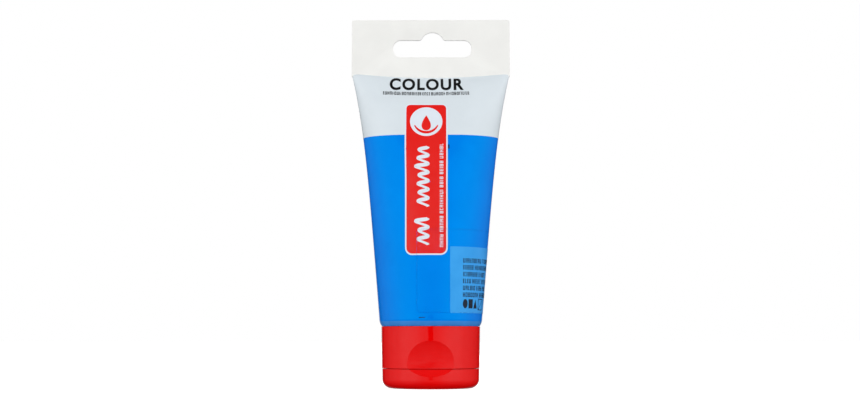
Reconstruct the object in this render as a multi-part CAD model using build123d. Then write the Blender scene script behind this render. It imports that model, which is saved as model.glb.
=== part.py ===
"""A soft paint tube with a flip-top cap, standing on its closed cap.

Millimetres, +Z up. The origin is the centre of the lid's flat end, which the tube stands on.
The printed front and the thumb scoop face -Y, the lid's hinge is at the back, +Y, and the
flat header with the hang slot lies in the XZ plane.
"""

import os
from math import hypot, pi, sqrt

from build123d import *

# Sleeve: round at the shoulder, pressed flat at the header
SLEEVE_R = 20.0
SLEEVE_WALL = 0.5
SLEEVE_FOOT_Z = 25.6  # where the sleeve's end meets the moulded head
SLEEVE_START_Z = 26.75  # the round section that the flattening starts from
SEAL_Z = 123.2  # where both walls meet
TOP_Z = 145.1
HEADER_THICKNESS = 0.9
WIDENING = 8.05  # of the half width, in proportion to height
FLARE = 3.25  # of the half width, close to the seal
FLARE_POWER = 4.8
FLAT_FROM = 0.5  # share of the height where the front starts to go flat
FLAT_POWER = 1.25
ROUND_HANDLE = 0.5523  # handle of a Bezier quarter circle, as a share of its radius
FLAT_HANDLE = 0.985
SECTION_SHARES = (0, 0.05, 0.13, 0.25, 0.38, 0.5, 0.6, 0.7, 0.78, 0.85, 0.91, 0.955, 0.985)
GIRTH_STEPS = 120  # straight pieces that a quarter of a section is measured in
DEPTH_HALVINGS = 40

# Hang slot in the header
SLOT_WIDTH = 31.3
SLOT_HEIGHT = 7.0
SLOT_LOW_Z = 129.9
SLOT_END_R = 3.1
SLOT_OFFSET_X = 0.6  # punched a little off centre
HUMP_TOP_Z = 140.1
HUMP_R = 4.8
HUMP_FLARE_R = 1.2  # where the hump's sides turn into the slot

# Moulded head: rounded shoulder and snap neck
CORNER_R = 5.0
SHOULDER_Z = 23.75
SHOULDER_WALL = 1.4
CONE_R = 17.1  # where the shoulder's cone starts, inside the cap's skirt
NECK_ROOT_Z = 21.8
NECK_R = 8.0
NECK_BORE_R = 6.2
NECK_END_Z = 11.4
NECK_BEAD = 0.5
NECK_BEAD_Z = 13.9
NECK_BEAD_LEAD = 1.5  # from its lower end up to its widest ring
NECK_BEAD_BACK = 0.75  # from that ring to its upper end
SPIGOT_R = 19.25
SPIGOT_WALL = 0.9
SPIGOT_TOP_Z = 27.8
FOIL_R = 7.8
FOIL_THICKNESS = 0.2

# Contents
PAINT_CLEARANCE = 0.15
PAINT_LEVEL_Z = 99.0

# Clear label, wrapped from the front round the right-hand side to the back
LABEL_THICKNESS = 0.1
LABEL_LOW_Z = 28.7
LABEL_HIGH_Z = 60.5
LABEL_FRONT_X = -5.45
LABEL_BACK_X = 8.0

# Cap body
CAP_TOP_Z = 23.65
CAP_TOP_R = 19.16
CAP_SPLIT_R = 18.92
CAP_WALL = 1.3
SPLIT_Z = 7.6
SPLIT_GAP = 0.2
DECK_THICKNESS = 1.2
LEDGE_R = 17.1
LEDGE_WALL = 0.8
LEDGE_DEPTH = 0.9
LEDGE_GAP_X = 11.0  # half the gap that the scoop and the hinge leave in the ledge
COLLAR_R = 8.8
COLLAR_WALL = 1.2
COLLAR_END_Z = 20.4
COLLAR_BEAD_R = 8.12
COLLAR_BEAD_Z = 16.0
COLLAR_BEAD_HALF = 0.3  # half its flat crest
COLLAR_BEAD_ROOT_HALF = 1.2
SPOUT_R = 4.0
SPOUT_END_Z = 4.9
SPOUT_EDGE_R = 0.6
ORIFICE_R = 2.0

# Lid
LID_RIM_R = 18.85
LID_FOOT_R = 18.7
LID_EDGE_R = 3.5
LID_INNER_EDGE_R = 2.2
LID_FLOOR = 1.4
PIN_R = 1.7
PIN_TOP_Z = 6.6
PIN_EDGE_R = 0.5
SEAL_RING_R = 4.3
SEAL_RING_WALL = 0.9
SEAL_RING_TOP_Z = 6.4

# Thumb scoop: two crossing cylinders of the cap's own radius, one in each half
SCOOP_R = 19.0
BODY_SCOOP_TOP_Z = 18.3
BODY_SCOOP_OUTLINE_R = 9.23
LID_SCOOP_LOW_Z = 3.7
LID_SCOOP_OUTLINE_R = 12.57

# Living hinge on a flat seat at the back
SEAT_Y = 17.6
SEAT_HALF_WIDTH = 7.0
SEAT_TOP_Z = 13.4
SEAT_LOW_Z = 2.4
SEAT_BACKING = 1.2
STRAP_THICKNESS = 0.45
STRAP_WIDTH = 3.2
STRAP_LENGTH = 8.4
SPRING_INNER_X = 2.6
SPRING_OUTER_X = 5.8
SPRING_WAIST = 0.8  # how far each side pulls in at the hinge line
SPRING_LENGTH = 7.6
LID_SEAT_CLEARANCE = 0.02

FAR = 60.0  # longer than any cut needs


def height_at(t):
    """Height at share t of the way from the round section to the seal."""
    return SLEEVE_START_Z + (SEAL_Z - SLEEVE_START_Z) * t


def corner_radius(z):
    """Radius of the rounded shoulder corner at height z."""
    return SLEEVE_R - CORNER_R + sqrt(CORNER_R**2 - (SLEEVE_START_Z - z) ** 2)


def half_width(t):
    """Half the sleeve's width at share t of its height. Below the round section it's the corner."""
    if t < 0:
        return corner_radius(height_at(t))
    return SLEEVE_R + WIDENING * t + FLARE * t**FLARE_POWER


def flat_handle(t):
    """How far the front stays flat before it turns to the side, as a Bezier handle's share."""
    flatness = max(0.0, (t - FLAT_FROM) / (1 - FLAT_FROM)) ** FLAT_POWER
    return ROUND_HANDLE + (FLAT_HANDLE - ROUND_HANDLE) * flatness


def quarter_length(width, depth, handle):
    """Length of one quarter of a section."""
    length, last = 0.0, (width, 0.0)
    for i in range(1, GIRTH_STEPS + 1):
        u = i / GIRTH_STEPS
        v = 1 - u
        x = width * v**3 + 3 * width * v * v * u + 3 * handle * width * v * u * u
        y = 3 * ROUND_HANDLE * depth * v * v * u + 3 * depth * v * u * u + depth * u**3
        length += hypot(x - last[0], y - last[1])
        last = (x, y)
    return length


def half_depth(t):
    """Half the sleeve's depth, from the girth, which is the same at every height."""
    if t >= 1:
        return HEADER_THICKNESS / 2
    if t <= 0:
        return half_width(t)
    low, high = HEADER_THICKNESS / 2, SLEEVE_R
    for _ in range(DEPTH_HALVINGS):
        depth = (low + high) / 2
        if 4 * quarter_length(half_width(t), depth, flat_handle(t)) > 2 * pi * SLEEVE_R:
            high = depth
        else:
            low = depth
    return depth


def section(t, inset=0.0):
    """The sleeve's closed section at share t of its height, drawn in by inset."""
    a = half_width(t) - inset
    b = half_depth(t) - inset
    p, q = a * flat_handle(t), b * ROUND_HANDLE
    quarters = [
        Bezier((a, 0), (a, q), (p, b), (0, b)),
        Bezier((0, b), (-p, b), (-a, q), (-a, 0)),
        Bezier((-a, 0), (-a, -q), (-p, -b), (0, -b)),
        Bezier((0, -b), (p, -b), (a, -q), (a, 0)),
    ]
    return Pos(0, 0, height_at(t)) * make_face(quarters)


def sleeve_form(inset=0.0, closed=True):
    """The sleeve's form from its foot to the seal, solid, drawn in by inset."""
    foot = (SLEEVE_FOOT_Z - SLEEVE_START_Z) / (SEAL_Z - SLEEVE_START_Z)
    shares = (foot,) + SECTION_SHARES + ((1,) if closed else ())
    return loft([section(t, inset) for t in shares])


def ring(inner_r, outer_r, low_z, high_z):
    """A tube about the Z axis."""
    height = high_z - low_z
    align = (Align.CENTER, Align.CENTER, Align.MIN)
    shell = Cylinder(outer_r, height, align=align)
    if inner_r:
        shell -= Cylinder(inner_r, height, align=align)
    return Pos(0, 0, low_z) * shell


def turned(*outline):
    """A solid of revolution about Z from (radius, height) points."""
    return revolve(Plane.XZ * make_face(Polyline(*outline, close=True)), Axis.Z)


def block(x_range, y_range, z_range):
    """A box from its three ranges."""
    ranges = (x_range, y_range, z_range)
    size = [high - low for low, high in ranges]
    centre = [(high + low) / 2 for low, high in ranges]
    return Pos(*centre) * Box(*size)


def shoulder_corner():
    """The rounded corner from the shoulder's face up to the sleeve's foot, solid."""
    low, mid, high = (
        (corner_radius(z), z) for z in (SHOULDER_Z, (SHOULDER_Z + SLEEVE_FOOT_Z) / 2, SLEEVE_FOOT_Z)
    )
    sides = Polyline(high, (0, SLEEVE_FOOT_Z), (0, SHOULDER_Z), low)
    return revolve(Plane.XZ * make_face([ThreePointArc(low, mid, high), sides]), Axis.Z)


def hang_slot():
    """The cutter for the hang slot: a long round-ended slot with a rounded hump over its middle."""
    slot = Pos(0, SLOT_LOW_Z + SLOT_HEIGHT / 2) * RectangleRounded(SLOT_WIDTH, SLOT_HEIGHT, SLOT_END_R)
    outline = slot + Pos(0, HUMP_TOP_Z - HUMP_R) * Circle(HUMP_R)
    feet = outline.vertices().filter_by(lambda vertex: abs(vertex.X) < HUMP_R)
    outline = fillet(feet, HUMP_FLARE_R)
    return Pos(SLOT_OFFSET_X, 0, 0) * extrude(Plane.XZ * outline, FAR, both=True)


def tube_sleeve():
    """Extruded soft sleeve, sealed flat at the top, with the hang slot."""
    header = extrude(section(1), TOP_Z - SEAL_Z)
    return sleeve_form() + header - sleeve_form(SLEEVE_WALL, closed=False) - hang_slot()


def tube_head():
    """Moulded shoulder and neck, welded inside the sleeve's end."""
    cone = turned((0, NECK_ROOT_Z), (NECK_R, NECK_ROOT_Z), (CONE_R, SHOULDER_Z), (0, SHOULDER_Z))
    spigot = ring(0, SPIGOT_R, SLEEVE_FOOT_Z, SPIGOT_TOP_Z)
    neck = ring(0, NECK_R, NECK_END_Z, NECK_ROOT_Z)
    bead = turned(
        (NECK_R - NECK_BEAD, NECK_BEAD_Z - NECK_BEAD_LEAD),
        (NECK_R + NECK_BEAD, NECK_BEAD_Z),
        (NECK_R + NECK_BEAD, NECK_BEAD_Z + NECK_BEAD),
        (NECK_R - NECK_BEAD, NECK_BEAD_Z + NECK_BEAD_BACK),
    )
    return shoulder_corner() + cone + spigot + neck + bead - head_hollow()


def head_hollow(inset=0.0):
    """The space inside the head: neck bore, cone and spigot, drawn in by inset."""
    wall = SHOULDER_WALL + inset
    spigot_bore_r = SPIGOT_R - SPIGOT_WALL - inset
    neck_bore_r = NECK_BORE_R - inset
    return turned(
        (0, NECK_END_Z + inset),
        (neck_bore_r, NECK_END_Z + inset),
        (neck_bore_r, NECK_ROOT_Z + wall),
        (spigot_bore_r - wall, SHOULDER_Z + wall),
        (spigot_bore_r, SHOULDER_Z + 2 * wall),
        (spigot_bore_r, SPIGOT_TOP_Z),
        (0, SPIGOT_TOP_Z),
    )


def neck_foil_seal():
    """Peel-off membrane over the neck's mouth."""
    return ring(0, FOIL_R, NECK_END_Z - FOIL_THICKNESS, NECK_END_Z)


def paint_fill():
    """The paint, from the neck up to its level below the seal."""
    inset = SLEEVE_WALL + PAINT_CLEARANCE
    body = sleeve_form(inset, closed=False) & ring(0, FAR, SLEEVE_START_Z, PAINT_LEVEL_Z)
    spigot_room = ring(0, FAR, SLEEVE_START_Z, SPIGOT_TOP_Z) - ring(
        0, SPIGOT_R - SPIGOT_WALL - PAINT_CLEARANCE, SLEEVE_START_Z, SPIGOT_TOP_Z
    )
    return body - spigot_room + head_hollow(PAINT_CLEARANCE)


def colour_label():
    """Clear self-adhesive label with the colour swatch."""
    band = (sleeve_form(-LABEL_THICKNESS) - sleeve_form()) & ring(0, FAR, LABEL_LOW_Z, LABEL_HIGH_Z)
    heights = (LABEL_LOW_Z, LABEL_HIGH_Z)
    front = block((LABEL_FRONT_X, FAR), (-FAR, 0), heights)
    back = block((LABEL_BACK_X, FAR), (0, FAR), heights)
    return band & (front + back)


def scoop(outline_r, centre_z, wall=0.0):
    """The scoop's cutter: a cylinder along X. With a wall, the wider one that leaves that wall."""
    depth = outline_r**2 / (2 * SCOOP_R)
    axis_y = -(SCOOP_R + CAP_SPLIT_R) + depth
    return Pos(0, axis_y, centre_z) * Rot(0, 90, 0) * Cylinder(SCOOP_R + wall, FAR)


def hinge_seat(low_z, high_z, clearance=0.0):
    """What the flat hinge seat cuts off the back, between two heights."""
    return block((-SEAT_HALF_WIDTH, SEAT_HALF_WIDTH), (SEAT_Y - clearance, FAR), (low_z, high_z))


def hinge_backing(low_z, high_z):
    """Material behind the flat hinge seat."""
    return block((-SEAT_HALF_WIDTH, SEAT_HALF_WIDTH), (SEAT_Y - SEAT_BACKING, SEAT_Y), (low_z, high_z))


def cap_body():
    """Outer skirt, deck with the spout, and the collar that snaps over the neck."""
    low_z = SPLIT_Z + SPLIT_GAP / 2
    deck_z = low_z + DECK_THICKNESS
    form = turned((0, low_z), (CAP_SPLIT_R, low_z), (CAP_TOP_R, CAP_TOP_Z), (0, CAP_TOP_Z))
    hollow = turned(
        (0, deck_z),
        (CAP_SPLIT_R - CAP_WALL, deck_z),
        (CAP_TOP_R - CAP_WALL, CAP_TOP_Z),
        (0, CAP_TOP_Z),
    )
    centre_z = BODY_SCOOP_TOP_Z - BODY_SCOOP_OUTLINE_R
    front = block((-FAR, FAR), (-FAR, 0), (0, CAP_TOP_Z))
    scoop_wall = scoop(BODY_SCOOP_OUTLINE_R, centre_z, CAP_WALL) & front
    backing = hinge_backing(low_z, SEAT_TOP_Z + SEAT_BACKING)
    body = form - (hollow - scoop_wall - backing)
    body += ring(COLLAR_R, COLLAR_R + COLLAR_WALL, deck_z, COLLAR_END_Z)
    root_r = COLLAR_R + COLLAR_WALL / 2
    body += turned(
        (root_r, COLLAR_BEAD_Z - COLLAR_BEAD_ROOT_HALF),
        (COLLAR_BEAD_R, COLLAR_BEAD_Z - COLLAR_BEAD_HALF),
        (COLLAR_BEAD_R, COLLAR_BEAD_Z + COLLAR_BEAD_HALF),
        (root_r, COLLAR_BEAD_Z + COLLAR_BEAD_ROOT_HALF),
    )
    ledge = ring(LEDGE_R - LEDGE_WALL, LEDGE_R, low_z - LEDGE_DEPTH, low_z)
    body += ledge - block((-LEDGE_GAP_X, LEDGE_GAP_X), (-FAR, FAR), (0, low_z))
    spout = ring(0, SPOUT_R, SPOUT_END_Z, low_z)
    body += fillet(spout.edges().group_by(Axis.Z)[0], SPOUT_EDGE_R)
    body -= scoop(BODY_SCOOP_OUTLINE_R, centre_z) & front
    body -= hinge_seat(low_z, SEAT_TOP_Z)
    return body - ring(0, ORIFICE_R, 0, deck_z)


def cap_lid():
    """Flip-top lid with its sealing pin and ring."""
    rim_z = SPLIT_Z - SPLIT_GAP / 2
    form = turned((0, 0), (LID_FOOT_R, 0), (LID_RIM_R, rim_z), (0, rim_z))
    form = fillet(form.edges().group_by(Axis.Z)[0], LID_EDGE_R)
    hollow = turned(
        (0, LID_FLOOR),
        (LID_FOOT_R - CAP_WALL, LID_FLOOR),
        (LID_RIM_R - CAP_WALL, rim_z),
        (0, rim_z),
    )
    hollow = fillet(hollow.edges().group_by(Axis.Z)[0], LID_INNER_EDGE_R)
    centre_z = LID_SCOOP_LOW_Z + LID_SCOOP_OUTLINE_R
    front = block((-FAR, FAR), (-FAR, 0), (0, rim_z))
    scoop_wall = scoop(LID_SCOOP_OUTLINE_R, centre_z, CAP_WALL) & front
    lid = form - (hollow - scoop_wall - hinge_backing(0, rim_z))
    lid -= scoop(LID_SCOOP_OUTLINE_R, centre_z) & front
    lid -= hinge_seat(SEAT_LOW_Z, rim_z, LID_SEAT_CLEARANCE)
    pin = ring(0, PIN_R, LID_FLOOR, PIN_TOP_Z)
    lid += fillet(pin.edges().group_by(Axis.Z)[-1], PIN_EDGE_R)
    return lid + ring(SEAL_RING_R, SEAL_RING_R + SEAL_RING_WALL, LID_FLOOR, SEAL_RING_TOP_Z)


def hinge_plate(*outline):
    """A thin plate on the hinge seat, from (x, height above the hinge line) points."""
    face = Plane.XZ * make_face(Polyline(*outline, close=True))
    return Pos(0, SEAT_Y + STRAP_THICKNESS, SPLIT_Z) * extrude(face, STRAP_THICKNESS)


def hinge_strap():
    """The middle strap of the living hinge."""
    half, reach = STRAP_WIDTH / 2, STRAP_LENGTH / 2
    return hinge_plate((-half, -reach), (half, -reach), (half, reach), (-half, reach))


def hinge_spring(side):
    """One waisted butterfly spring beside the strap, side -1 or 1."""
    reach = SPRING_LENGTH / 2
    return hinge_plate(
        (side * SPRING_INNER_X, -reach),
        (side * SPRING_OUTER_X, -reach),
        (side * (SPRING_OUTER_X - SPRING_WAIST), 0),
        (side * SPRING_OUTER_X, reach),
        (side * SPRING_INNER_X, reach),
        (side * (SPRING_INNER_X + SPRING_WAIST), 0),
    )


PARTS = {
    "tube_sleeve": tube_sleeve(),
    "tube_head": tube_head(),
    "neck_foil_seal": neck_foil_seal(),
    "paint_fill": paint_fill(),
    "colour_label": colour_label(),
    "cap_body": cap_body(),
    "cap_lid": cap_lid(),
    "hinge_strap": hinge_strap(),
    "hinge_spring_left": hinge_spring(-1),
    "hinge_spring_right": hinge_spring(1),
}

os.makedirs("parts", exist_ok=True)
for name, solid in PARTS.items():
    export_step(solid, f"parts/{name}.step")
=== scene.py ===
"""Looks of the flip-top paint tube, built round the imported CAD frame.

Lengths are millimetres until a mesh is made. The tube stands on its lid with the printed front
towards -Y. Printed matter is laid out in the sleeve's own coordinates: s, the distance round the
sleeve from the middle of the front, and z, the height.
"""

import math

import bmesh
import bpy
import numpy as np
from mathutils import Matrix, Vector


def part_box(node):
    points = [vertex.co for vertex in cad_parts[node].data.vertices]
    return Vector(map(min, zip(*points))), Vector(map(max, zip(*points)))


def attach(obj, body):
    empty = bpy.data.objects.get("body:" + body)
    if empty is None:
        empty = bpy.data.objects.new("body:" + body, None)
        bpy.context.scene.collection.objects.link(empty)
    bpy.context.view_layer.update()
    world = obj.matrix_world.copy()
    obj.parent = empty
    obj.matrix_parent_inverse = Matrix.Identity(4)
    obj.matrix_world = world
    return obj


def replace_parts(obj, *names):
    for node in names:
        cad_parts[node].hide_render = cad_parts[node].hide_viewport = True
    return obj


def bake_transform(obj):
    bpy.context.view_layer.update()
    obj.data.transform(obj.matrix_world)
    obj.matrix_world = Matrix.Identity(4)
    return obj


MM = 0.001

# Sleeve form, as the CAD sleeve: round at the shoulder, pressed flat at the header
SLEEVE_R = 20.0
CORNER_R = 5.0
ROUND_Z = 26.75
SEAL_Z = 123.2
WIDENING = 8.05
FLARE = 3.25
FLARE_POWER = 4.8
FLAT_FROM = 0.5
FLAT_POWER = 1.25
ROUND_HANDLE = 0.5523  # share of the width or depth at which a circle's handle lies
FLAT_HANDLE = 0.985  # the same for a flattened section
SEAL_DEPTH = 0.5
WALL = 0.5
GIRTH = 2 * math.pi * SLEEVE_R

# What the real sleeve adds to that form
SMILE_FADE_Z = 108.0
SMILE_DROP = 1.5
SMILE_RISE = 1.7
LEAN_ONSET = 4.0  # height over which the wall starts to lean in above the shoulder
CREASE_LOW_Z = 78.0
CREASE_SLOPE = 0.70
CREASE_HEIGHT = 0.95
CREASE_SOFTNESS = 0.02

PRINT_LINE_Z = 97.35
INK = 0.02  # how far one layer of ink stands proud

# ---------------------------------------------------------------- frame

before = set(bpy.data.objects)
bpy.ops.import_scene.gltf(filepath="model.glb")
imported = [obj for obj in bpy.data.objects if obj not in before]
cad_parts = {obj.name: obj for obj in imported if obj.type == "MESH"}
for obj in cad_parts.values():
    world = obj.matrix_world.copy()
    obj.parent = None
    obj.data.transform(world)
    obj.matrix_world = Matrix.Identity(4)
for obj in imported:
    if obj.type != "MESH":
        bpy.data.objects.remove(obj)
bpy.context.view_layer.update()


def box_mm(node):
    """A CAD node's lowest and highest corner in millimetres."""
    low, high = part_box(node)
    return np.array(low) / MM, np.array(high) / MM


SLEEVE_LOW, SLEEVE_HIGH = box_mm("tube_sleeve")
FOOT_Z = float(SLEEVE_LOW[2])
TOP_Z = float(SLEEVE_HIGH[2])
HEADER_X = float(SLEEVE_HIGH[0])
LABEL_LOW, LABEL_HIGH = box_mm("colour_label")

# ---------------------------------------------------------------- sleeve surface


def half_width(z):
    """Half the sleeve's width at height z; below the round section it's the shoulder corner."""
    if z < ROUND_Z:
        return SLEEVE_R - CORNER_R + math.sqrt(CORNER_R**2 - (ROUND_Z - z) ** 2)
    t = (z - ROUND_Z) / (SEAL_Z - ROUND_Z)
    return SLEEVE_R + WIDENING * t + FLARE * t**FLARE_POWER


def quarter(a, b, handle, steps=240):
    """Points of a quarter section from the middle of the front (0, b) to the side (a, 0)."""
    u = np.linspace(0, 1, steps)
    v = 1 - u
    p, q = a * handle, b * ROUND_HANDLE
    x = 3 * v * v * u * p + 3 * v * u * u * a + u**3 * a
    y = v**3 * b + 3 * v * v * u * b + 3 * v * u * u * q
    return x, y


def arc_lengths(x, y):
    """Running length along a polyline."""
    return np.concatenate([[0.0], np.cumsum(np.hypot(np.diff(x), np.diff(y)))])


def half_depth(z, a, handle):
    """Half the sleeve's depth at height z, from the girth, which is the same at every height."""
    if z <= ROUND_Z:
        return a
    low, high = SEAL_DEPTH, SLEEVE_R
    for _ in range(30):
        b = (low + high) / 2
        if 4 * arc_lengths(*quarter(a, b, handle))[-1] > GIRTH:
            high = b
        else:
            low = b
    return b


def crease(z, x, a):
    """How far the two soft creases that bound the flat facet stand proud of the section."""
    middle = CREASE_SLOPE * (z - CREASE_LOW_Z)
    if middle <= 0:
        return np.zeros_like(x)
    share = (z - CREASE_LOW_Z) / (SEAL_Z - CREASE_LOW_Z)
    height = CREASE_HEIGHT * math.sin(math.pi * min(1.0, share**0.8))
    inner = x / middle
    outer = (a - x) / max(a - middle, 0.5)
    tent = (inner + outer - np.sqrt((inner - outer) ** 2 + CREASE_SOFTNESS)) / 2
    return height * np.clip(tent, 0, None)


def smile(share):
    """The seal line's height over its nominal height at a share of the half width."""
    return SMILE_RISE * share**2 - SMILE_DROP


def section_row(z, stations):
    """Right-hand front quarter at height z: x and depth at stations from 0 (front) to 1 (side)."""
    t = max(0.0, (z - ROUND_Z) / (SEAL_Z - ROUND_Z))
    flatness = max(0.0, (t - FLAT_FROM) / (1 - FLAT_FROM)) ** FLAT_POWER
    handle = ROUND_HANDLE + (FLAT_HANDLE - ROUND_HANDLE) * flatness
    a = half_width(z)
    b = half_depth(z, a, handle)
    if z > ROUND_Z:
        b += (SLEEVE_R - b) * math.exp((ROUND_Z - z) / LEAN_ONSET)
    x, y = quarter(a, b, handle)
    y = y + crease(z, x, a)
    run = arc_lengths(x, y)
    at = stations * run[-1]
    return np.interp(at, run, x), np.interp(at, run, y)


ROW_STEP = 1.0
FOOT_ROWS = 5
QUARTER_COLUMNS = 80
COLUMNS = 4 * QUARTER_COLUMNS
ROW_Z = np.concatenate(
    [
        np.linspace(FOOT_Z, ROUND_Z, FOOT_ROWS)[:-1],
        np.arange(ROUND_Z, PRINT_LINE_Z - 0.5, ROW_STEP),
        np.arange(PRINT_LINE_Z, SEAL_Z - 0.5, ROW_STEP),
        [SEAL_Z],
    ]
)


def surface_table():
    """Points of the sleeve, one row per ROW_Z and one column per s, the first at the back seam."""
    stations = np.linspace(0, 1, QUARTER_COLUMNS + 1)
    rows = []
    for z in ROW_Z:
        x, y = section_row(z, stations)
        share = x / x[-1]
        fade = np.clip((z - SMILE_FADE_Z) / (SEAL_Z - SMILE_FADE_Z), 0, 1) ** 2
        height = z + smile(share) * fade
        front = np.stack([x, -y, height], 1)
        back = np.stack([x, y, height], 1)
        right = np.concatenate([front, back[-2::-1]])
        left = right * [-1, 1, 1]
        rows.append(np.concatenate([left[:0:-1], right[:-1]]))
    return np.array(rows)


SURFACE = surface_table()
CENTRE_Z = SURFACE[:, COLUMNS // 2, 2]


def surface_normals():
    """Outward unit normals of the surface table."""
    round_way = np.roll(SURFACE, -1, 1) - np.roll(SURFACE, 1, 1)
    up = np.gradient(SURFACE, axis=0)
    normals = np.cross(round_way, up)
    return normals / np.linalg.norm(normals, axis=2, keepdims=True)


NORMALS = surface_normals()


def on_sleeve(s, z, lift=0.0):
    """The points at s round the sleeve and height z on its middle line, lifted off the surface."""
    s, z = np.broadcast_arrays(np.asarray(s, float), np.asarray(z, float))
    column = (s / GIRTH + 0.5) * COLUMNS
    row = np.interp(z, CENTRE_Z, np.arange(len(ROW_Z)))
    c0 = np.floor(column).astype(int)
    r0 = np.clip(np.floor(row).astype(int), 0, len(ROW_Z) - 2)
    fc, fr = (column - c0)[..., None], (row - r0)[..., None]
    c0, c1 = c0 % COLUMNS, (c0 + 1) % COLUMNS

    def mix(table):
        low = table[r0, c0] * (1 - fc) + table[r0, c1] * fc
        high = table[r0 + 1, c0] * (1 - fc) + table[r0 + 1, c1] * fc
        return low * (1 - fr) + high * fr

    return mix(SURFACE) + mix(NORMALS) * np.asarray(lift, float)[..., None]


# ---------------------------------------------------------------- materials


def new_material(name):
    """An empty node material with its output, its main shader and object coordinates."""
    material = bpy.data.materials.new(name)
    material.use_nodes = True
    tree = material.node_tree
    tree.nodes.clear()
    output = tree.nodes.new("ShaderNodeOutputMaterial")
    shader = tree.nodes.new("ShaderNodeBsdfPrincipled")
    tree.links.new(shader.outputs["BSDF"], output.inputs["Surface"])
    coordinates = tree.nodes.new("ShaderNodeTexCoord")
    return material, tree, shader, coordinates.outputs["Object"]


def noise(tree, vector, scale, detail=3.0):
    """A noise value from object coordinates."""
    texture = tree.nodes.new("ShaderNodeTexNoise")
    texture.inputs["Scale"].default_value = scale
    texture.inputs["Detail"].default_value = detail
    tree.links.new(vector, texture.inputs["Vector"])
    return texture.outputs["Fac"]


def ramp(tree, value, low, high, out_low, out_high):
    """A value rescaled smoothly from one range to another."""
    node = tree.nodes.new("ShaderNodeMapRange")
    node.interpolation_type = "SMOOTHSTEP"
    node.inputs["From Min"].default_value = low
    node.inputs["From Max"].default_value = high
    node.inputs["To Min"].default_value = out_low
    node.inputs["To Max"].default_value = out_high
    tree.links.new(value, node.inputs["Value"])
    return node.outputs["Result"]


def mix_colour(tree, factor, first, second):
    """Two colours mixed by a factor."""
    node = tree.nodes.new("ShaderNodeMix")
    node.data_type = "RGBA"
    tree.links.new(factor, node.inputs["Factor"])
    node.inputs["A"].default_value = (*first, 1)
    node.inputs["B"].default_value = (*second, 1)
    return node.outputs["Result"]


def arithmetic(tree, operation, first, second):
    """One maths step on two values; either may be a number."""
    node = tree.nodes.new("ShaderNodeMath")
    node.operation = operation
    for socket, value in zip(node.inputs, (first, second)):
        if isinstance(value, (int, float)):
            socket.default_value = value
        else:
            tree.links.new(value, socket)
    return node.outputs["Value"]


def bump(tree, shader, height, distance):
    """Feeds a height to the shader's normal, in metres of relief."""
    node = tree.nodes.new("ShaderNodeBump")
    node.inputs["Strength"].default_value = 1.0
    node.inputs["Distance"].default_value = distance
    tree.links.new(height, node.inputs["Height"])
    tree.links.new(node.outputs["Normal"], shader.inputs["Normal"])


CLOUD_SCALE = 90.0
SPECK_SCALE = 4 * CLOUD_SCALE
DULLER, GLOSSIER = 0.05, 0.04  # how far the roughness strays either way


def plastic(name, light, dark, rough, waviness, specular=0.5, tint=None):
    """Plastic or ink: two close shades clouded together, uneven gloss and a soft waviness."""
    material, tree, shader, vector = new_material(name)
    cloud = ramp(tree, noise(tree, vector, CLOUD_SCALE, 4.0), 0.35, 0.65, 0.0, 1.0)
    tree.links.new(mix_colour(tree, cloud, dark, light), shader.inputs["Base Color"])
    specks = noise(tree, vector, SPECK_SCALE, 5.0)
    gloss = ramp(tree, specks, 0.3, 0.7, rough - GLOSSIER, rough + DULLER)
    tree.links.new(gloss, shader.inputs["Roughness"])
    bump(tree, shader, noise(tree, vector, CLOUD_SCALE, 2.0), waviness)
    shader.inputs["Specular IOR Level"].default_value = specular
    if tint:
        shader.inputs["Specular Tint"].default_value = (*tint, 1)
    return material


def ribbed(material, pitch, relief):
    """Adds fine upright ribs to a plastic's relief, as the crimping jaws leave."""
    tree = material.node_tree
    shader = tree.nodes["Principled BSDF"]
    coordinates = tree.nodes["Texture Coordinate"].outputs["Object"]
    waves = tree.nodes.new("ShaderNodeTexWave")
    waves.bands_direction = "X"
    waves.inputs["Scale"].default_value = math.pi / 10 / pitch
    waves.inputs["Distortion"].default_value = 0.6
    tree.links.new(coordinates, waves.inputs["Vector"])
    patches = ramp(tree, noise(tree, coordinates, 60.0, 1.0), 0.4, 0.6, 0.1, 1.0)
    height = arithmetic(tree, "MULTIPLY", waves.outputs["Fac"], patches)
    bump(tree, shader, height, relief)


CONE_TOLERANCE = (0.00003, 0.00006)  # metres off a cone over which a point stops being on it
CONE_END = 0.0001  # metres over which a cone fades in and out at its ends


def cone_share(tree, radius, z, cone, heights):
    """1 where a point lies on the cone and between the heights, and the cone's slope."""
    (low_r, low_z), (high_r, high_z) = cone
    slope = (high_r - low_r) / (high_z - low_z)
    rise = arithmetic(tree, "MULTIPLY", arithmetic(tree, "SUBTRACT", z, low_z), slope)
    depth = arithmetic(tree, "SUBTRACT", arithmetic(tree, "ADD", rise, low_r), radius)
    outside = ramp(tree, depth, *CONE_TOLERANCE, 1.0, 0.0)
    above = ramp(tree, z, heights[0], heights[0] + CONE_END, 0.0, 1.0)
    below = ramp(tree, z, heights[1] - CONE_END, heights[1], 1.0, 0.0)
    return arithmetic(tree, "MULTIPLY", arithmetic(tree, "MULTIPLY", outside, above), below), slope


def world_normal(tree, x, y, z):
    """A direction in object coordinates as a world normal."""
    direction = tree.nodes.new("ShaderNodeCombineXYZ")
    for axis, value in zip("XYZ", (x, y, z)):
        tree.links.new(value, direction.inputs[axis])
    turn = tree.nodes.new("ShaderNodeVectorTransform")
    turn.vector_type = "NORMAL"
    turn.convert_from = "OBJECT"
    turn.convert_to = "WORLD"
    tree.links.new(direction.outputs["Vector"], turn.inputs["Vector"])
    return turn.outputs["Vector"]


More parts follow.
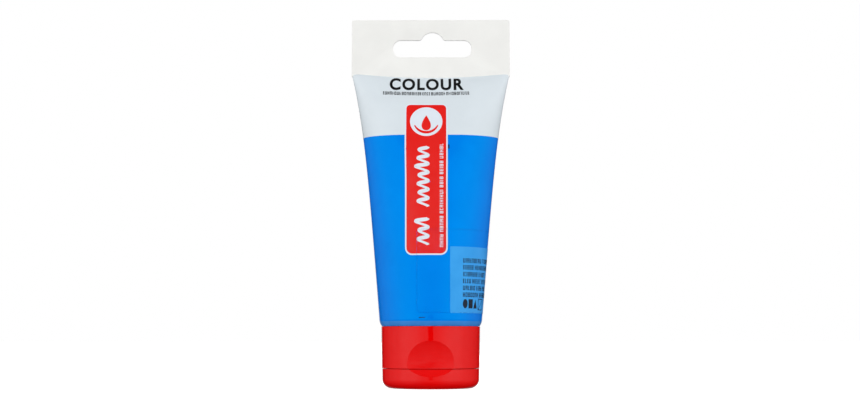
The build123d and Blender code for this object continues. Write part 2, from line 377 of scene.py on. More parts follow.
def turned_gloss(material, cone, heights, rough):
    """Exact shading on a plastic's turned outside, a cone between two (radius, height) points.

    Where the surface lies on the cone and between the heights, the normal points straight out and
    the gloss stays high. Everywhere else, as in the thumb scoop, it's duller by rough.
    """
    tree = material.node_tree
    shader = tree.nodes["Principled BSDF"]
    split = tree.nodes.new("ShaderNodeSeparateXYZ")
    tree.links.new(tree.nodes["Texture Coordinate"].outputs["Object"], split.inputs["Vector"])
    x, y, z = (split.outputs[axis] for axis in "XYZ")
    squares = (arithmetic(tree, "MULTIPLY", value, value) for value in (x, y))
    radius = arithmetic(tree, "SQRT", arithmetic(tree, "ADD", *squares), 0.0)
    outside, slope = cone_share(tree, radius, z, cone, heights)
    straight = world_normal(tree, x, y, arithmetic(tree, "MULTIPLY", radius, -slope))
    real = tree.nodes.new("ShaderNodeNewGeometry")
    blend = tree.nodes.new("ShaderNodeMix")
    blend.data_type = "VECTOR"
    tree.links.new(outside, blend.inputs["Factor"])
    # A mix node's vector sockets share their names with its other kinds, so they go by number
    tree.links.new(real.outputs["Normal"], blend.inputs[4])
    tree.links.new(straight, blend.inputs[5])
    tree.links.new(blend.outputs[1], tree.nodes["Bump"].inputs["Normal"])
    gloss = shader.inputs["Roughness"].links[0].from_socket
    dull = arithmetic(tree, "MULTIPLY", arithmetic(tree, "SUBTRACT", 1.0, outside), rough)
    tree.links.new(arithmetic(tree, "ADD", gloss, dull), shader.inputs["Roughness"])


def clear(name, light, dark, alpha):
    """Clear glossy film: nearly all transparent, with a little colour of its own."""
    material = plastic(name, light, dark, 0.1, 0.000003)
    material.node_tree.nodes["Principled BSDF"].inputs["Alpha"].default_value = alpha
    return material


def srgb(red, green, blue):
    """A display colour, 0 to 255, as the linear colour that nodes use."""

    def channel(value):
        value /= 255
        return value / 12.92 if value <= 0.04045 else ((value + 0.055) / 1.055) ** 2.4

    return tuple(channel(value) for value in (red, green, blue))


BLUE_TINT = (0.0, 0.8, 1.0)
WAVY = 0.000002  # relief of the film and of the moulded head, in metres
SMOOTH = 0.000001  # relief of the ink
CAP_RED = (srgb(229, 2, 2), srgb(226, 1, 2), 0.05, 0.0000005)
NATURAL_WHITE = (srgb(239, 239, 236), srgb(236, 236, 233), 0.36, WAVY)

# Light shade, dark shade, roughness, relief in metres, then gloss and its tint where they differ
RECIPES = {
    "print_white": (srgb(219, 228, 234), srgb(216, 225, 231), 0.1, WAVY, 1.0),
    "film_blue": (srgb(0, 128, 239), srgb(0, 124, 235), 0.06, WAVY, 1.0, BLUE_TINT),
    "natural_film": NATURAL_WHITE,
    "header_film": NATURAL_WHITE,
    "ink_red": (srgb(226, 26, 20), srgb(223, 23, 17), 0.1, SMOOTH),
    "ink_white": (srgb(222, 230, 240), srgb(218, 226, 236), 0.2, SMOOTH),
    "ink_dark": (srgb(20, 20, 22), srgb(14, 14, 16), 0.3, SMOOTH, 0.3),
    "ink_patch": (srgb(66, 160, 236), srgb(60, 154, 231), 0.1, SMOOTH, 0.5, BLUE_TINT),
    "ink_navy": (srgb(24, 40, 62), srgb(18, 32, 52), 0.2, SMOOTH, 0.3),
    "cap_red": CAP_RED,
    "cap_lid_red": CAP_RED,
    "cap_body_red": CAP_RED,
    "head_plastic": (srgb(58, 137, 220), srgb(52, 129, 210), 0.16, WAVY),
    "paint": (srgb(0, 120, 220), srgb(0, 104, 200), 0.15, 0.0001),
    "foil": (srgb(206, 208, 210), srgb(180, 182, 186), 0.3, 0.0001),
}
MATERIALS = {name: plastic(name, *recipe) for name, recipe in RECIPES.items()}
MATERIALS["label_film"] = clear("label_film", srgb(60, 160, 245), srgb(50, 150, 240), 0.012)
MATERIALS["label_edge"] = clear("label_edge", srgb(0, 96, 196), srgb(0, 90, 190), 0.1)

# In metres: the cap's and the lid's turned outsides as (radius, height) at both ends, and the
# heights between which they show
CAP_CONE = ((0.01892, 0.0076), (0.01916, 0.02365))
CAP_HEIGHTS = (0.0078, 0.0235)
LID_CONE = ((0.0187, 0.0), (0.01885, 0.0075))
LID_HEIGHTS = (0.0036, 0.0074)
SCOOP_DULLNESS = 0.12
RIB_PITCH = 0.001
RIB_RELIEF = 0.000004


def finish_materials():
    """What only some materials have: metal, denser gloss, ribs and turned surfaces."""
    for name, socket, value in (("foil", "Metallic", 1.0), ("film_blue", "IOR", 1.65)):
        MATERIALS[name].node_tree.nodes["Principled BSDF"].inputs[socket].default_value = value
    ribbed(MATERIALS["header_film"], RIB_PITCH, RIB_RELIEF)
    turned_gloss(MATERIALS["cap_body_red"], CAP_CONE, CAP_HEIGHTS, SCOOP_DULLNESS)
    turned_gloss(MATERIALS["cap_lid_red"], LID_CONE, LID_HEIGHTS, 0.0)


# ---------------------------------------------------------------- mesh helpers


def make_piece(name, points, faces, materials, body, face_materials=None, smooth=30):
    """A mesh piece in metres from points in millimetres, riding on a body."""
    mesh = bpy.data.meshes.new(name)
    mesh.from_pydata((np.asarray(points) * MM).tolist(), [], [list(map(int, f)) for f in faces])
    for key in materials:
        mesh.materials.append(MATERIALS[key])
    if face_materials is not None:
        mesh.polygons.foreach_set("material_index", np.asarray(face_materials, np.int32))
    bm = bmesh.new()
    bm.from_mesh(mesh)
    bmesh.ops.recalc_face_normals(bm, faces=bm.faces)
    sharp = math.radians(smooth)
    for face in bm.faces:
        face.smooth = True
    for edge in bm.edges:
        edge.smooth = len(edge.link_faces) == 2 and edge.calc_face_angle(0) < sharp
    bm.to_mesh(mesh)
    bm.free()
    piece = bpy.data.objects.new(name, mesh)
    bpy.context.scene.collection.objects.link(piece)
    if body:
        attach(piece, body)
    return piece


def grid_faces(rows, columns, start=0):
    """Quads of a closed band of rows, each ring joined to the next."""
    faces = []
    for row in range(rows - 1):
        for column in range(columns):
            after = (column + 1) % columns
            low, high = start + row * columns, start + (row + 1) * columns
            faces.append((low + column, low + after, high + after, high + column))
    return faces


def sleeve():
    """The tube's sleeve as a closed wall: outside, foot and inside, printed in two zones."""
    rows = len(ROW_Z)
    outer = SURFACE.reshape(-1, 3)
    depth = np.abs(SURFACE[:, COLUMNS // 2, 1])
    inner_rows = int(np.sum(depth > WALL + 1.0))
    inner = (SURFACE - NORMALS * WALL)[:inner_rows].reshape(-1, 3)
    points = np.concatenate([outer, inner])
    inside = rows * COLUMNS
    faces = grid_faces(rows, COLUMNS)
    zones = [0 if ROW_Z[row] > PRINT_LINE_Z - 0.01 else 1 for row in range(rows - 1)]
    slots = [zone for zone in zones for _ in range(COLUMNS)]
    extra = grid_faces(inner_rows, COLUMNS, inside)
    for column in range(COLUMNS):
        after = (column + 1) % COLUMNS
        extra.append((column, after, inside + after, inside + column))
    extra += side_strips((rows - 1) * COLUMNS)
    extra += side_strips(inside + (inner_rows - 1) * COLUMNS)
    slots += [2] * len(extra)
    films = ("print_white", "film_blue", "natural_film")
    piece = make_piece("sleeve", points, faces + extra, films, "tube", slots)
    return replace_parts(piece, "tube_sleeve")


def side_strips(ring):
    """Strips that close a flattened ring by joining each front point to the one behind it."""
    middle = COLUMNS // 2
    faces = []
    for i in range(COLUMNS // 2):
        front = (middle - COLUMNS // 4 + i) % COLUMNS
        back = (middle - COLUMNS // 4 - i) % COLUMNS
        corners = (ring + front, ring + front + 1, ring + (back - 1) % COLUMNS, ring + back)
        faces.append(list(dict.fromkeys(corners)))
    return [face for face in faces if len(face) > 2]


def outline_curve(loops):
    """A filled 2D curve of closed outlines, holes and all."""
    curve = bpy.data.curves.new("outline", "CURVE")
    curve.dimensions = "2D"
    curve.fill_mode = "BOTH"
    for loop in loops:
        spline = curve.splines.new("POLY")
        spline.points.add(len(loop) - 1)
        for point, (x, y) in zip(spline.points, loop):
            point.co = (x, y, 0, 1)
        spline.use_cyclic_u = True
    return curve


def filled_mesh(loops):
    """Flat filled triangles of closed outlines, holes and all, as a bmesh in the XY plane."""
    return flat_bmesh(outline_curve(loops))


def flat_bmesh(curve):
    """The filled mesh of a 2D curve or text, as a bmesh; the curve is removed."""
    holder = bpy.data.objects.new("outline", curve)
    bpy.context.scene.collection.objects.link(holder)
    bpy.context.view_layer.update()
    graph = bpy.context.evaluated_depsgraph_get()
    mesh = bpy.data.meshes.new_from_object(holder.evaluated_get(graph))
    bm = bmesh.new()
    bm.from_mesh(mesh)
    bmesh.ops.remove_doubles(bm, verts=bm.verts, dist=1e-4)
    bpy.data.objects.remove(holder)
    bpy.data.meshes.remove(mesh)
    return bm


def cut_grid(bm, step):
    """Cuts a flat mesh along a square grid, so that it can follow a curved surface."""
    for axis in (0, 1):
        values = [v.co[axis] for v in bm.verts]
        cut = math.floor(min(values) / step) + 1
        while cut * step < max(values):
            normal, place = [0, 0, 0], [0, 0, 0]
            normal[axis], place[axis] = 1, cut * step
            geometry = bm.verts[:] + bm.edges[:] + bm.faces[:]
            bmesh.ops.bisect_plane(bm, geom=geometry, dist=1e-5, plane_co=place, plane_no=normal)
            cut += 1


PRINT_STEP = 1.0


def printed(name, shapes, material, low, high):
    """Printed matter: flat (s, z) meshes made into thin solids that follow the sleeve."""
    points, faces = [], []
    for bm in shapes:
        cut_grid(bm, PRINT_STEP)
        bm.verts.index_update()
        flat = np.array([v.co[:2] for v in bm.verts])
        start, count = len(points), len(flat)
        points += list(on_sleeve(flat[:, 0], flat[:, 1], low))
        points += list(on_sleeve(flat[:, 0], flat[:, 1], high))
        for face in bm.faces:
            ring = [start + v.index for v in face.verts]
            faces.append(ring[::-1])
            faces.append([i + count for i in ring])
        for edge in bm.edges:
            if len(edge.link_faces) == 1:
                i, j = (start + v.index for v in edge.verts)
                faces.append([i, j, j + count, i + count])
        bm.free()
    return make_piece(name, points, faces, (material,), "tube")


def rounded(x0, y0, x1, y1, radius, steps=6, foot_radius=None):
    """Outline of a rounded rectangle, its two lower corners with a radius of their own if given."""
    low = radius if foot_radius is None else foot_radius
    corners = (
        (x1 - radius, y1 - radius, radius),
        (x0 + radius, y1 - radius, radius),
        (x0 + low, y0 + low, low),
        (x1 - low, y0 + low, low),
    )
    loop = []
    for k, (cx, cy, r) in enumerate(corners):
        for i in range(steps + 1):
            angle = math.pi / 2 * (k + i / steps)
            loop.append((cx + r * math.cos(angle), cy + r * math.sin(angle)))
    return loop


def ellipse(cx, cy, rx, ry, steps=48):
    """Outline of an ellipse."""
    turns = [2 * math.pi * i / steps for i in range(steps)]
    return [(cx + rx * math.cos(a), cy + ry * math.sin(a)) for a in turns]


STROKE = 0.18  # a greeked stroke's width as a share of its height
SLIT = 0.008  # between a stem and its arms, so that no outlines touch
GROUP = (4, 10)  # marks in a group, the second number not included
TWO_STEMS = 0.6  # share of the marks
PLAIN_STEM = 0.12  # share of the marks


def upright_box(x, y, wide, high):
    """Outline of a plain rectangle from its lower left corner."""
    return [(x, y), (x + wide, y), (x + wide, y + high), (x, y + high)]


def mark(random, at, low, height, reach):
    """One greeked character, one or two thin stems and short arms: its outlines and its width."""
    line = STROKE * height
    stems = [at]
    if random.random() < TWO_STEMS:
        stems.append(at + line + reach)
    loops = [upright_box(x, low, line, height) for x in stems]
    if random.random() < PLAIN_STEM:
        return loops[:1], line
    for level in random.choice(3, size=random.integers(1, 4), replace=False):
        z = low + (height - line) * level / 2
        loops.append(upright_box(at + line + SLIT, z, reach - 2 * SLIT, line))
    return loops, reach + line * len(stems)


def blocks(x0, x1, y, height, seed, upright=False, drop=0.0, reach=0.19, gap=0.18, space=0.5):
    """A line of greeked text in groups; reach, gap and space are shares of the height."""
    random = np.random.default_rng(seed)
    loops, at, letters = [], x0, 0
    group = random.integers(*GROUP)
    while at < x1 - 0.5 * height:
        sag = drop * ((2 * at - x0 - x1) / (x1 - x0)) ** 2
        shapes, width = mark(random, at, y + sag, height, reach * height)
        loops += [[(-b, a) for a, b in loop] if upright else loop for loop in shapes]
        letters += 1
        at += width + (gap if letters < group else space) * height
        if letters == group:
            letters, group = 0, random.integers(*GROUP)
    return loops


LETTER_SPACING = 1.16
BOLDNESS = 0.034


def word(text, x0, x1, y, height):
    """A generic word in Blender's own font, fitted to a width and a height and made bold."""
    curve = bpy.data.curves.new("word", "FONT")
    curve.body = text
    curve.space_character = LETTER_SPACING
    curve.offset = BOLDNESS
    curve.resolution_u = 5
    bm = flat_bmesh(curve)
    across = [v.co.x for v in bm.verts]
    up = [v.co.y for v in bm.verts]
    wide, high = max(across) - min(across), max(up) - min(up)
    for v in bm.verts:
        v.co.x = x0 + (v.co.x - min(across)) / wide * (x1 - x0)
        v.co.y = y + (v.co.y - min(up)) / high * height
    return bm


# ---------------------------------------------------------------- header

SLOT_X = (-15.05, 16.25)
SLOT_Z = (129.9, 136.9)
SLOT_CENTRE_X = 0.6
SLOT_END_R = 3.1
HUMP_TOP_Z = 140.1
HUMP_R = 4.8
HUMP_FLARE_R = 1.2
HEADER_HALF = 0.45
HEADER_BEVEL = 0.12
HEADER_CHAMFER = 0.35  # across its two top corners
HEADER_LEAN = 0.15  # the top edge's fall from the right-hand corner to the left-hand one
HEADER_ROOT = 1.0  # how far it reaches down into the sleeve


def arc(cx, cy, radius, start, end, steps=10):
    """Points along an arc, angles in degrees."""
    turns = [math.radians(start + (end - start) * i / steps) for i in range(steps + 1)]
    return [(cx + radius * math.cos(a), cy + radius * math.sin(a)) for a in turns]


def hang_slot_outline():
    """The slot: round-ended, with a rounded hump over its middle."""
    (x0, x1), (z0, z1) = SLOT_X, SLOT_Z
    r = SLOT_END_R
    hump_z = HUMP_TOP_Z - HUMP_R
    flare_z = z1 + HUMP_FLARE_R
    lean = math.asin((flare_z - hump_z) / (HUMP_R + HUMP_FLARE_R))
    foot = (HUMP_R + HUMP_FLARE_R) * math.cos(lean)
    start = math.degrees(lean)
    loop = arc(x1 - r, z0 + r, r, -90, 0) + arc(x1 - r, z1 - r, r, 0, 90)
    loop += arc(SLOT_CENTRE_X + foot, flare_z, HUMP_FLARE_R, -90, start - 180, 6)
    loop += arc(SLOT_CENTRE_X, hump_z, HUMP_R, start, 180 - start, 20)
    loop += arc(SLOT_CENTRE_X - foot, flare_z, HUMP_FLARE_R, -start, -90, 6)
    loop += arc(x0 + r, z1 - r, r, 90, 180) + arc(x0 + r, z0 + r, r, 180, 270)
    return loop


def header():
    """The crimped flat header: a bevelled plate with the slot, its foot inside the sleeve."""
    edge = HEADER_X - HEADER_BEVEL
    high = TOP_Z - HEADER_BEVEL
    right, left = edge - HEADER_CHAMFER, HEADER_CHAMFER - edge
    top = [(x, high - HEADER_LEAN * (edge - x) / (2 * edge)) for x in (right, left)]
    foot = [(x, SEAL_Z + smile(x / HEADER_X) - HEADER_ROOT) for x in np.linspace(-edge, edge, 41)]
    loop = foot + [(edge, top[0][1] - HEADER_CHAMFER)] + top + [(-edge, top[1][1] - HEADER_CHAMFER)]
    curve = outline_curve((loop, hang_slot_outline()))
    curve.extrude = HEADER_HALF - HEADER_BEVEL
    curve.bevel_depth = HEADER_BEVEL
    curve.bevel_resolution = 2
    bm = flat_bmesh(curve)
    bm.verts.index_update()
    points = [(v.co.x, -v.co.z, v.co.y) for v in bm.verts]
    faces = [[v.index for v in face.verts] for face in bm.faces]
    bm.free()
    films = ("header_film",)
    return make_piece("header", points, faces, films, "tube", smooth=50)


# ---------------------------------------------------------------- printed matter

PANEL_S = (-9.4, 5.9)
PANEL_Z = (51.0, 109.6)
PANEL_TOP_R = 1.5
PANEL_FOOT_R = 2.2
PANEL_BORDER = 0.55
BADGE = (-1.75, 102.7)
BADGE_R = (6.2, 5.9)
DROP_SIZE = (2.4, 3.1)
DROP_SINK = 0.5
SWASH_R = 4.9
SWASH_RISE = 1.1  # of its upper edge's centre over its lower edge's

# The brushed waves up the panel: where each starts and ends, and its swings' shares of the reach
WAVES = (
    (54.3, 64.5, (1.0, 0.9, 1.25)),
    (69.0, 92.5, (1.0, 0.9, 1.0, 0.9, 1.25, 1.0, 0.9)),
)
WAVE_BASE_S = -1.0
WAVE_REACH = 3.9
WAVE_LEAN = 0.12
BRUSH_WIDTH = 1.15
BRUSH_SWELL = 0.3
SMALL_PRINT_S = 4.75
SMALL_HEIGHT = 1.35

HEADING_S = (-16.1, 12.9)
HEADING_Z = 115.9
HEADING_HEIGHT = 5.25
SUB_HEADING_S = (-18.6, 15.2)
SUB_HEADING_Z = 113.7
DASH = ((-4.5, 26.75), (-2.1, 26.85), (-2.1, 27.1), (-4.5, 27.0))
TICK = (6.6, 91.7, 7.1, 93.4)


def stroke(points, widths):
    """A ribbon of varying width along a path, as a flat bmesh of quads."""
    path = np.array(points, float)
    way = np.gradient(path, axis=0)
    way /= np.linalg.norm(way, axis=1, keepdims=True)
    side = np.stack([-way[:, 1], way[:, 0]], 1) * (np.asarray(widths)[:, None] / 2)
    bm = bmesh.new()
    left = [bm.verts.new((*p, 0)) for p in path + side]
    right = [bm.verts.new((*p, 0)) for p in path - side]
    for i in range(len(path) - 1):
        bm.faces.new((left[i], right[i], right[i + 1], left[i + 1]))
    return bm


def flourish(start, end, swings):
    """A brushed wave up the panel, one swing per height in the list, heavy on the way back."""
    count = len(swings)
    loop = np.linspace(0, count, count * 30)
    turn = 2 * math.pi * loop
    tall = np.interp(loop, np.arange(count) + 0.5, swings)
    x = WAVE_BASE_S - WAVE_REACH * tall * (0.5 - 0.5 * np.cos(turn))
    z = start + (end - start) * loop / count - WAVE_LEAN * (x - WAVE_BASE_S)
    width = BRUSH_WIDTH - BRUSH_SWELL * np.sin(turn)
    return stroke(np.stack([x, z], 1), width)


def badge_mark():
    """The badge's drop and the curve under it, as outlines."""
    cx, cz = BADGE
    wide, tall = DROP_SIZE
    turns = np.linspace(0, 2 * math.pi, 49)[:-1]
    drop = [
        (cx + wide * math.sin(a) * math.sin(a / 2) ** 1.2, cz - DROP_SINK + tall * math.cos(a))
        for a in turns
    ]
    swash = arc(cx, cz, SWASH_R, 200, 340, 24)
    swash += arc(cx, cz + SWASH_RISE, SWASH_R + 0.05, 330, 210, 24)
    return drop, swash


def panel_print():
    """The red panel with its border, badge, brushed waves and small print."""
    (x0, x1), (z0, z1) = PANEL_S, PANEL_Z
    b = PANEL_BORDER
    border = rounded(x0 - b, z0 - b, x1 + b, z1 + b, PANEL_TOP_R + b, foot_radius=PANEL_FOOT_R + b)
    field = rounded(x0, z0, x1, z1, PANEL_TOP_R, foot_radius=PANEL_FOOT_R)
    printed("panel_border", [filled_mesh([border])], "ink_white", -0.03, INK)
    printed("panel", [filled_mesh([field])], "ink_red", -0.01, 2 * INK)
    printed("badge", [filled_mesh([ellipse(*BADGE, *BADGE_R, 64)])], "ink_white", 0.0, 3 * INK)
    shapes = [filled_mesh([loop]) for loop in badge_mark()]
    printed("badge_mark", shapes, "ink_red", 0.01, 4 * INK)
    printed("flourish", [flourish(*wave) for wave in WAVES], "ink_white", 0.0, 3 * INK)
    low, high = WAVES[0][0] - 0.8, WAVES[1][1] + 2.0
    wide = {"reach": 0.3, "gap": 0.3, "space": 0.75}
    small = blocks(low, high, -SMALL_PRINT_S, SMALL_HEIGHT, 11, upright=True, **wide)
    printed("panel_small_print", [filled_mesh(small)], "ink_white", 0.0, 3 * INK)


def front_print():
    """Everything printed on the sleeve's front."""
    panel_print()
    heading = word("COLOUR", *HEADING_S, HEADING_Z, HEADING_HEIGHT)
    printed("heading", [heading], "ink_dark", -0.02, INK)
    line = blocks(*SUB_HEADING_S, SUB_HEADING_Z, SMALL_HEIGHT, 5, drop=0.35, space=0.3)
    printed("sub_heading", [filled_mesh(line)], "ink_dark", -0.02, INK)
    printed("register_dash", [filled_mesh([DASH])], "ink_navy", -0.02, INK)
    tick = rounded(*TICK, 0.2)
    printed("register_tick", [filled_mesh([tick])], "ink_navy", -0.02, INK)


LABEL_R = 1.5
LABEL_RIM = 0.22
LABEL_BACK_S = GIRTH / 2 - 8.0
FILM = 0.08
PATCH_S = (7.4, 38.0)
PATCH_Z = (28.6, 53.8)
LINES = 6
LINES_S = (12.8, 31.5)
LINES_Z = 47.7
LINE_PITCH = 2.6
LINE_HEIGHT = 1.7
SIGNS_Z = 30.4
SIGN_HEIGHT = 3.5


def signs(s, z, height):
    """Three bold upright signs, a disc, a bar and a wedge, and a square with a diagonal."""
    wide, pitch = 0.66 * height, 0.8 * height
    disc = ellipse(s + wide / 2, z + height / 2, wide / 2, height / 2, 32)
    bar = rounded(s + pitch, z, s + pitch + wide, z + height, 0.2)
    wedge = [(s + 2 * pitch, z), (s + 2 * pitch + wide, z), (s + 2 * pitch + wide / 2, z + height)]
    side, low = s + 3 * pitch + 0.4, z - 0.6
    line, size = 0.3, 1.25 * height
    square = rounded(side, low, side + size, low + size, 0.3)
    inside = rounded(side + line, low + line, side + size - line, low + size - line, 0.1)
    diagonal = [
        (side + line, low + line),
        (side + 2 * line, low + line),
        (side + size - line, low + size - line),
        (side + size - 2 * line, low + size - line),
    ]
    return [filled_mesh([disc, bar, wedge]), filled_mesh([square, inside]), filled_mesh([diagonal])]


def label_print(name, shapes, material, low, high):
    """One layer of the clear label or of what is printed on it."""
    return printed(name, shapes, material, low, high)


def label():
    """The clear label and what is printed on it."""
    z0, z1 = LABEL_LOW[2], LABEL_HIGH[2]
    film_s = LABEL_LOW[0]
    outline = rounded(film_s, z0, LABEL_BACK_S, z1, LABEL_R)
    film = label_print("label_film", [filled_mesh([outline])], "label_film", -0.01, FILM)
    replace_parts(film, "colour_label")
    rim = LABEL_RIM
    inner = rounded(film_s + rim, z0 + rim, LABEL_BACK_S - rim, z1 - rim, LABEL_R - rim)
    label_print("label_edge", [filled_mesh([outline, inner])], "label_edge", FILM, FILM + 0.01)
    (s0, s1), (w0, w1) = PATCH_S, PATCH_Z
    patch = rounded(s0, w0, s1, w1, 0.25)
    label_print("colour_patch", [filled_mesh([patch])], "ink_patch", 0.0, FILM + 0.01)
    start, longest = LINES_S
    lines = []
    for row in range(LINES):
        end = longest - (row * 7) % 5
        lines += blocks(start, end, LINES_Z - LINE_PITCH * row, LINE_HEIGHT, 20 + row)
    shapes = [filled_mesh(lines)] + signs(start, SIGNS_Z, SIGN_HEIGHT)
    label_print("patch_print", shapes, "ink_navy", 0.02, FILM + 0.02)


BACK_LINES = 4
BACK_LINES_S = (-16.0, 15.0)  # from the middle of the back
BACK_LINES_Z = 112.0
BACK_LINE_PITCH = 3.4
NOTES = 6
NOTES_S = (39.5, LABEL_BACK_S - 1.5)
NOTES_Z = 55.5
NOTE_PITCH = 3.6


def back_print():
    """Greeked small print on the sleeve's back and on the label's end there."""
    start, longest = BACK_LINES_S
    lines = []
    for row in range(BACK_LINES):
        z = BACK_LINES_Z - BACK_LINE_PITCH * row
        lines += blocks(start, longest - (row * 5) % 7, z, 1.6, 40 + row)
    middle = [[(GIRTH / 2 + s, z) for s, z in loop] for loop in lines]
    printed("back_print", [filled_mesh(middle)], "ink_dark", -0.02, INK)
    start, longest = NOTES_S
    notes = []
    for row in range(NOTES):
        z = NOTES_Z - NOTE_PITCH * row
        notes += blocks(start, longest - (row * 3) % 4, z, 1.5, 60 + row)
    label_print("label_print", [filled_mesh(notes)], "ink_navy", 0.02, FILM + 0.02)


# ---------------------------------------------------------------- hinge

HINGE_Z = 7.6
SPRING_WAIST = 0.8  # how far a spring's sides draw in at the hinge line
LEAF_ROWS = 25
LEAF_CHAMFER = (0.05, 0.06)


def hinge_piece(name, outline):
    """A thin hinge leaf: rows across from the cap's half down to the lid's."""
    low, high = box_mm(name)
    points, faces = [], []
    inset, chamfer = LEAF_CHAMFER
    thick = (low[1], low[1] + chamfer, high[1] - chamfer, high[1])
    for k in range(LEAF_ROWS):
        z = high[2] + (low[2] - high[2]) * k / (LEAF_ROWS - 1)
        x0, x1 = outline(z)
        near = [(x0, thick[1]), (x0 + inset, thick[0]), (x1 - inset, thick[0]), (x1, thick[1])]
        far = [(x1, thick[2]), (x1 - inset, thick[3]), (x0 + inset, thick[3]), (x0, thick[2])]
        points += [(x, y, z) for x, y in near + far]
    faces += grid_faces(LEAF_ROWS, 8)
    faces.append(list(range(8)))
    faces.append([(LEAF_ROWS - 1) * 8 + k for k in range(8)])
    piece = make_piece(name + "_leaf", points, faces, ("cap_red",), None)
    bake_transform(piece)
    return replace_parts(piece, name)


def hinge():
    """The strap and the two waisted springs of the living hinge."""
    for name, waist in (
        ("hinge_strap", 0.0),
        ("hinge_spring_left", SPRING_WAIST),
        ("hinge_spring_right", SPRING_WAIST),
    ):
        low, high = box_mm(name)
        reach = (high[2] - low[2]) / 2

        def outline(z, low=low, high=high, reach=reach, waist=waist):
            pull = waist * (1 - abs(z - HINGE_Z) / reach)
            return low[0] + pull, high[0] - pull

        hinge_piece(name, outline)


# ---------------------------------------------------------------- CAD nodes that stay

SOFT_EDGE = 0.08
SOFT_EDGE_ANGLE = 20
WELD_REACH = 0.000002  # metres


def dress(node, material, soften=False):
    """A material for a CAD node that stays, and softened edges where it shows."""
    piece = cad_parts[node]
    piece.data.materials.clear()
    piece.data.materials.append(MATERIALS[material])
    if soften:
        weld = piece.modifiers.new("weld", "WELD")
        weld.merge_threshold = WELD_REACH
        soft = piece.modifiers.new("bevel", "BEVEL")
        soft.width = SOFT_EDGE * MM
        soft.segments = 2
        soft.limit_method = "ANGLE"
        soft.angle_limit = math.radians(SOFT_EDGE_ANGLE)
        soft.harden_normals = True


def carried_nodes():
    """Materials for the CAD nodes that stay in the visible model."""
    dress("cap_body", "cap_body_red", soften=True)
    dress("cap_lid", "cap_lid_red", soften=True)
    dress("tube_head", "head_plastic")
    dress("neck_foil_seal", "foil")
    dress("paint_fill", "paint")


# ---------------------------------------------------------------- studio

# Brightness round the object, from 0 in front of it to 1 behind it
AROUND = (
    (0.0, 0.44),
    (0.04, 0.46),
    (0.25, 0.88),
    (0.35, 0.86),
    (0.5, 0.52),
    (0.6, 0.32),
    (0.7, 0.14),
    (0.76, 0.09),
    (0.81, 0.01),
    (0.86, 0.02),
    (0.91, 0.4),
)

# Brightness by height, from 0 straight down to 1 straight up
UPRIGHT = (
    (0.067, 0.08),
    (0.25, 0.36),
    (0.396, 0.62),
    (0.474, 1.0),
    (0.6, 1.0),
    (0.75, 0.72),
    (0.85, 0.42),
    (1.0, 0.15),
)
STUDIO_LEVEL = 3.2
SHINE = 0.31  # the studio's level in reflections, as a share of its level as light
FILL = 0.36  # the least brightness round the object, as light
CAMERA_HOLE = (5.2, 6.8)  # degrees off the axis over which the dark camera fades out


def curve_of(tree, value, stops):
    """A smooth curve of a value from 0 to 1, through (value, level) stops."""
    node = tree.nodes.new("ShaderNodeValToRGB")
    node.color_ramp.interpolation = "EASE"
    elements = node.color_ramp.elements
    while len(elements) < len(stops):
        elements.new(0.5)
    for element, (at, level) in zip(elements, stops):
        element.position = at
    for element, (at, level) in zip(elements, stops):
        element.color = (level, level, level, 1)
    tree.links.new(value, node.inputs["Fac"])
    return node.outputs["Color"]


def studio_world():
    """Two broad soft lights either side of a small dark camera; plain white to the camera's eye."""
    world = bpy.data.worlds.new("studio")
    bpy.context.scene.world = world
    world.cycles.sampling_method = "NONE"
    world.use_nodes = True
    tree = world.node_tree
    tree.nodes.clear()
    output = tree.nodes.new("ShaderNodeOutputWorld")
    coordinates = tree.nodes.new("ShaderNodeTexCoord")
    split = tree.nodes.new("ShaderNodeSeparateXYZ")
    tree.links.new(coordinates.outputs["Generated"], split.inputs["Vector"])
    x, y, z = (split.outputs[k] for k in ("X", "Y", "Z"))
    rays = tree.nodes.new("ShaderNodeLightPath")
    glossy = rays.outputs["Is Glossy Ray"]
    facing = arithmetic(tree, "MULTIPLY", y, -1.0)
    azimuth = arithmetic(tree, "ABSOLUTE", arithmetic(tree, "ARCTAN2", x, facing), 0.0)
    around = curve_of(tree, arithmetic(tree, "DIVIDE", azimuth, math.pi), AROUND)
    around = arithmetic(tree, "MAXIMUM", around, ramp(tree, glossy, 0.0, 1.0, FILL, 0.0))
    height = arithmetic(tree, "ADD", arithmetic(tree, "MULTIPLY", z, 0.5), 0.5)
    upright = curve_of(tree, height, UPRIGHT)
    off_axis = arithmetic(tree, "ARCCOSINE", arithmetic(tree, "MINIMUM", facing, 1.0), 0.0)
    inner, outer = (math.radians(angle) for angle in CAMERA_HOLE)
    hole = ramp(tree, off_axis, inner, outer, 0.0, 1.0)
    shine = ramp(tree, glossy, 0.0, 1.0, STUDIO_LEVEL, STUDIO_LEVEL * SHINE)
    level = arithmetic(tree, "MULTIPLY", around, upright)
    level = arithmetic(tree, "MULTIPLY", level, hole)
    level = arithmetic(tree, "MULTIPLY", level, shine)
    studio = tree.nodes.new("ShaderNodeBackground")
    tree.links.new(level, studio.inputs["Strength"])
    white = tree.nodes.new("ShaderNodeBackground")
    white.inputs["Color"].default_value = (1, 1, 1, 1)
    choice = tree.nodes.new("ShaderNodeMixShader")
    tree.links.new(rays.outputs["Is Camera Ray"], choice.inputs["Fac"])
    tree.links.new(studio.outputs["Background"], choice.inputs[1])
    tree.links.new(white.outputs["Background"], choice.inputs[2])
    tree.links.new(choice.outputs["Shader"], output.inputs["Surface"])


FLOOR_HALF = 6.0
FLOOR_DROP = 0.00005  # just under the lid's flat end
FLOOR_TONES = ((0.86, 0.86, 0.86), (0.9, 0.9, 0.9))


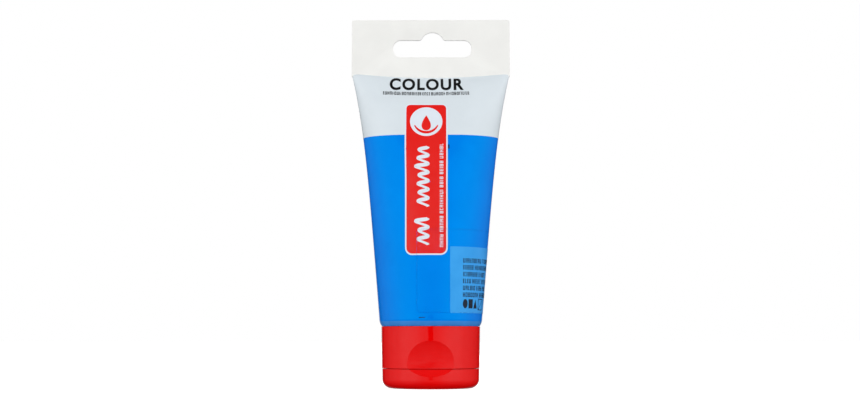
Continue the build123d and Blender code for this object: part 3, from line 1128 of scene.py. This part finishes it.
def floor():
    """A plain pale floor that only the camera sees, so that it adds no light from below."""
    mesh = bpy.data.meshes.new("floor")
    corners = [(x * FLOOR_HALF, y * FLOOR_HALF) for x, y in ((-1, -1), (1, -1), (1, 1), (-1, 1))]
    mesh.from_pydata([(x, y, -FLOOR_DROP) for x, y in corners], [], [(0, 1, 2, 3)])
    material, tree, shader, vector = new_material("floor_pale")
    tone = ramp(tree, noise(tree, vector, 30.0), 0.3, 0.7, 0.0, 1.0)
    tree.links.new(mix_colour(tree, tone, *FLOOR_TONES), shader.inputs["Base Color"])
    shader.inputs["Roughness"].default_value = 0.8
    shader.inputs["Emission Color"].default_value = (1, 1, 1, 1)
    shader.inputs["Emission Strength"].default_value = 0.8
    mesh.materials.append(material)
    ground = bpy.data.objects.new("floor", mesh)
    bpy.context.scene.collection.objects.link(ground)
    ground.visible_glossy = False
    ground.visible_diffuse = False


LAMP_PLACE = (0, 0.9, 0.4)
LAMP_AIM = (0, 0, 0.07)


def back_lamp():
    """A weak soft lamp behind the tube, for its back."""
    light = bpy.data.lights.new("back", "AREA")
    light.shape = "DISK"
    light.size = 0.9
    light.energy = 5.0
    lamp = bpy.data.objects.new("back", light)
    lamp.location = LAMP_PLACE
    lamp.rotation_mode = "QUATERNION"
    lamp.rotation_quaternion = (Vector(LAMP_AIM) - Vector(LAMP_PLACE)).to_track_quat("-Z", "Y")
    lamp.visible_glossy = False
    lamp.visible_camera = False
    bpy.context.scene.collection.objects.link(lamp)


CAMERA_PLACE = (-0.0003, -0.520, 0.019)
CAMERA_PITCH = 5.73  # degrees above level
CAMERA_LENS = 55.74


def camera():
    """Level with the cap, half a metre off, looking slightly up."""
    data = bpy.data.cameras.new("camera")
    data.lens = CAMERA_LENS
    data.sensor_width = 36
    data.clip_start = 0.01
    data.dof.use_dof = False
    shot = bpy.data.objects.new("camera", data)
    shot.location = CAMERA_PLACE
    shot.rotation_euler = (math.radians(90 + CAMERA_PITCH), 0, 0)
    bpy.context.scene.collection.objects.link(shot)
    bpy.context.scene.camera = shot


# ---------------------------------------------------------------- scene

bpy.context.scene.view_settings.view_transform = "Standard"

finish_materials()
sleeve()
header()
front_print()
back_print()
label()
hinge()
carried_nodes()
studio_world()
floor()
back_lamp()
camera()

bpy.context.view_layer.update()
